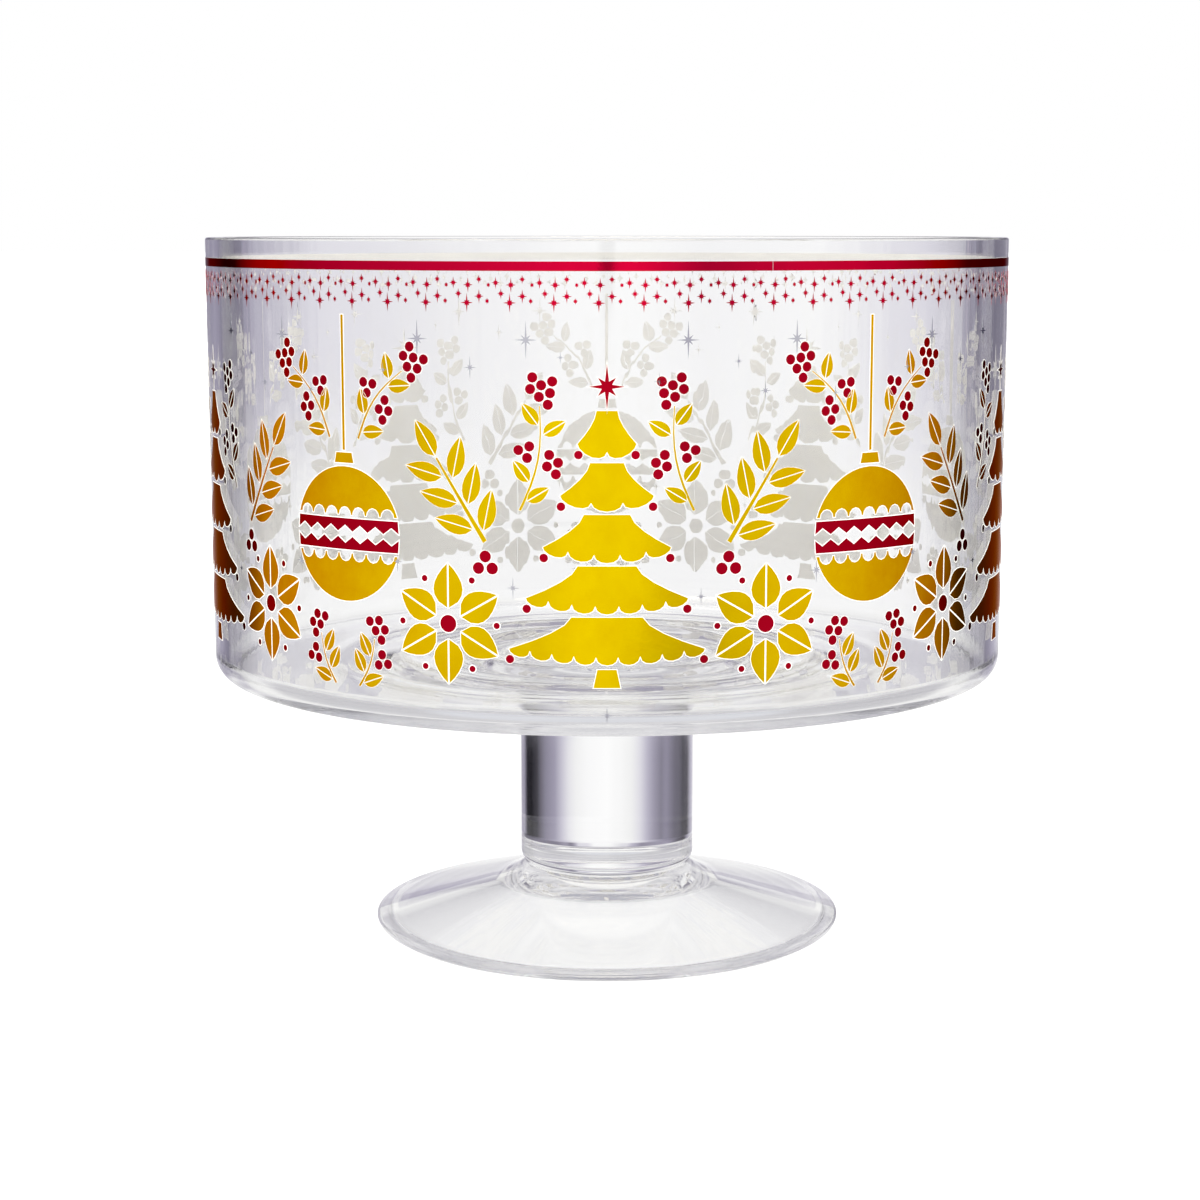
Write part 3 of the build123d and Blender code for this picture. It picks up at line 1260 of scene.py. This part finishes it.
def studio_world(scene):
    """White background, and soft studio light from all round with darker screens at the sides."""
    world = bpy.data.worlds.new("studio")
    scene.world = world
    world.use_nodes = True
    tree = world.node_tree
    tree.nodes.clear()
    place = add(tree, "ShaderNodeTexCoord")
    axes = add(tree, "ShaderNodeSeparateXYZ", None, {"Vector": place.outputs["Generated"]})
    bearing = add(
        tree,
        "ShaderNodeMath",
        {"operation": "ARCTAN2"},
        {0: axes.outputs["X"], 1: axes.outputs["Y"]},
    )
    around = add(
        tree,
        "ShaderNodeMapRange",
        None,
        {"Value": bearing.outputs["Value"], "From Min": -pi, "From Max": pi},
    )
    rise = add(tree, "ShaderNodeMath", {"operation": "ARCSINE"}, {0: axes.outputs["Z"]})
    # From below: the shade, the white table, the screens, the strip, a pale wall, the curtain,
    # the ceiling and a softbox over all.
    # each entry: degrees up where it begins and where it has taken over, and its stops or plain colour
    layers = [
        (-66, -58, screen_stops(SHADE, 0.015)),
        (-32, -24, (0.95, 0.95, 0.94, 1)),
        (-19, -14.5, screen_stops(SCREENS_LOW)),
        (-11.8, -10.3, screen_stops(SCREENS_MIDDLE)),
        (-7, -2.5, screen_stops(SCREENS_HIGH)),
        (7.4, 9.3, screen_stops(STRIP)),
        (11.4, 12.4, (0.88, 0.88, 0.86, 1)),
        (15, 18, screen_stops(CURTAIN)),
        (30, 36, (0.42, 0.42, 0.48, 1)),
        (46, 56, (1.0, 1.0, 0.98, 1)),
    ]
    studio = (0.70, 0.71, 0.75, 1)
    for start, end, light in layers:
        if isinstance(light, list):
            ring = add(tree, "ShaderNodeValToRGB", None, {"Fac": around.outputs["Result"]}, light)
            light = ring.outputs["Color"]
        share = add(
            tree,
            "ShaderNodeMapRange",
            {"interpolation_type": "SMOOTHSTEP"},
            {"Value": rise.outputs["Value"], "From Min": radians(start), "From Max": radians(end)},
        )
        layer = add(
            tree,
            "ShaderNodeMix",
            {"data_type": "RGBA"},
            {"Factor": share.outputs["Result"], "A": studio, "B": light},
        )
        studio = layer.outputs["Result"]
    # The camera's stand is dark against the light in front.
    dark = add(
        tree,
        "ShaderNodeMapRange",
        {"interpolation_type": "SMOOTHSTEP"},
        {
            "Value": axes.outputs["Y"],
            "From Min": -0.9998,
            "From Max": -0.9986,
            "To Min": 0.35,
            "To Max": 1.0,
        },
    )
    shaded = add(
        tree,
        "ShaderNodeVectorMath",
        {"operation": "SCALE"},
        {0: studio, "Scale": dark.outputs["Result"]},
    )
    studio = shaded.outputs["Vector"]
    path = add(tree, "ShaderNodeLightPath")
    # Matte surfaces are lit evenly from all round, so that they render about as they are written.
    matte = add(
        tree,
        "ShaderNodeMath",
        {"operation": "GREATER_THAN"},
        {0: path.outputs["Diffuse Depth"], 1: 0.5},
    )
    even = add(
        tree,
        "ShaderNodeMix",
        {"data_type": "RGBA"},
        {"Factor": matte.outputs["Value"], "A": studio, "B": (2.1, 2.1, 2.1, 1)},
    )
    soft = add(tree, "ShaderNodeBackground", None, {"Color": even.outputs["Result"], "Strength": 1.0})
    white = add(tree, "ShaderNodeBackground", None, {"Color": (1, 1, 1, 1), "Strength": 1.0})
    seen = add(
        tree,
        "ShaderNodeMixShader",
        None,
        {
            0: path.outputs["Is Camera Ray"],
            1: soft.outputs["Background"],
            2: white.outputs["Background"],
        },
    )
    add(tree, "ShaderNodeOutputWorld", None, {"Surface": seen.outputs["Shader"]})


def studio_floor():
    """Wide white table top that only takes a faint shadow."""
    bpy.ops.object.select_all(action="DESELECT")
    bpy.ops.mesh.primitive_plane_add(size=40, location=(0, 0, -0.0002))
    floor = bpy.context.active_object
    floor.name = "studio_floor"
    material, tree = new_material("white_table_top")
    matte = add(tree, "ShaderNodeBsdfDiffuse", None, {"Color": (0.3, 0.3, 0.3, 1)})
    glow = add(tree, "ShaderNodeEmission", None, {"Color": (1, 1, 1, 1), "Strength": 0.83})
    both = add(
        tree,
        "ShaderNodeAddShader",
        None,
        {0: matte.outputs["BSDF"], 1: glow.outputs["Emission"]},
    )
    add(tree, "ShaderNodeOutputMaterial", None, {"Surface": both.outputs["Shader"]})
    floor.data.materials.append(material)
    floor.visible_transmission = False
    floor.visible_glossy = False


class BOWL_OT_stage(bpy.types.Operator):
    """White table top, soft studio light and camera"""

    bl_idname = "bowl.stage"
    bl_label = "Stage"

    def execute(self, context):
        scene = context.scene
        studio_world(scene)
        studio_floor()
        bpy.ops.object.light_add(type="AREA", location=(-0.15, -0.1, 1.2))
        lamp = context.active_object
        lamp.name = "overhead_softbox"
        lamp.data.shape = "DISK"
        lamp.data.size = 0.9
        lamp.data.energy = 8.0
        lamp.data.color = linear("#FFF1DC")[:3]
        lamp.visible_transmission = False
        # The camera was fitted to the rim, the floor, the stem and the foot of the photographed bowl.
        eye, look_down = (0, -0.70139, 0.19232), 0.1439
        bpy.ops.object.camera_add(location=eye, rotation=(pi / 2 - look_down, 0, 0))
        camera = context.active_object
        camera.data.sensor_width = 36
        camera.data.lens = 77.03
        camera.data.shift_x = -7 / 1200
        scene.camera = camera
        scene.view_settings.view_transform = "Standard"
        scene.cycles.max_bounces = 96
        scene.cycles.transmission_bounces = 64
        scene.cycles.glossy_bounces = 96
        scene.cycles.transparent_max_bounces = 32
        return {"FINISHED"}


class BOWL_PT_pieces(bpy.types.Panel):
    """The bowl's pieces, in the order in which they are made"""

    bl_idname = "BOWL_PT_pieces"
    bl_label = "Trifle bowl"
    bl_space_type = "VIEW_3D"
    bl_region_type = "UI"
    bl_category = "Trifle bowl"

    def draw(self, context):
        for maker in PIECES:
            self.layout.operator(maker.bl_idname)
        for group in ("bowl_glass", "bowl_foil", "bowl_finishes"):
            settings = getattr(context.scene, group)
            for name in settings.__annotations__:
                self.layout.prop(settings, name)


PIECES = [
    BOWL_OT_glass_bowl,
    BOWL_OT_glass_stem,
    BOWL_OT_glass_foot,
    BOWL_OT_rim_stripe,
    BOWL_OT_border_stars,
    BOWL_OT_trees,
    BOWL_OT_baubles,
    BOWL_OT_flowers,
    BOWL_OT_twigs,
    BOWL_OT_small_stars,
    BOWL_OT_stage,
]
CLASSES = [GlassSizes, FoilSizes, Finishes] + PIECES + [BOWL_PT_pieces]


def register():
    for part in CLASSES:
        bpy.utils.register_class(part)
    bpy.types.Scene.bowl_glass = bpy.props.PointerProperty(type=GlassSizes)
    bpy.types.Scene.bowl_foil = bpy.props.PointerProperty(type=FoilSizes)
    bpy.types.Scene.bowl_finishes = bpy.props.PointerProperty(type=Finishes)


def unregister():
    del bpy.types.Scene.bowl_finishes
    del bpy.types.Scene.bowl_foil
    del bpy.types.Scene.bowl_glass
    for part in reversed(CLASSES):
        bpy.utils.unregister_class(part)


def main():
    register()
    bpy.ops.bowl.glass_bowl()
    bpy.ops.bowl.glass_stem()
    bpy.ops.bowl.glass_foot()
    bpy.ops.bowl.rim_stripe()
    bpy.ops.bowl.border_stars()
    bpy.ops.bowl.trees()
    bpy.ops.bowl.baubles()
    bpy.ops.bowl.flowers()
    bpy.ops.bowl.twigs()
    bpy.ops.bowl.small_stars()
    bpy.ops.bowl.stage()


if __name__ == "__main__":
    main()
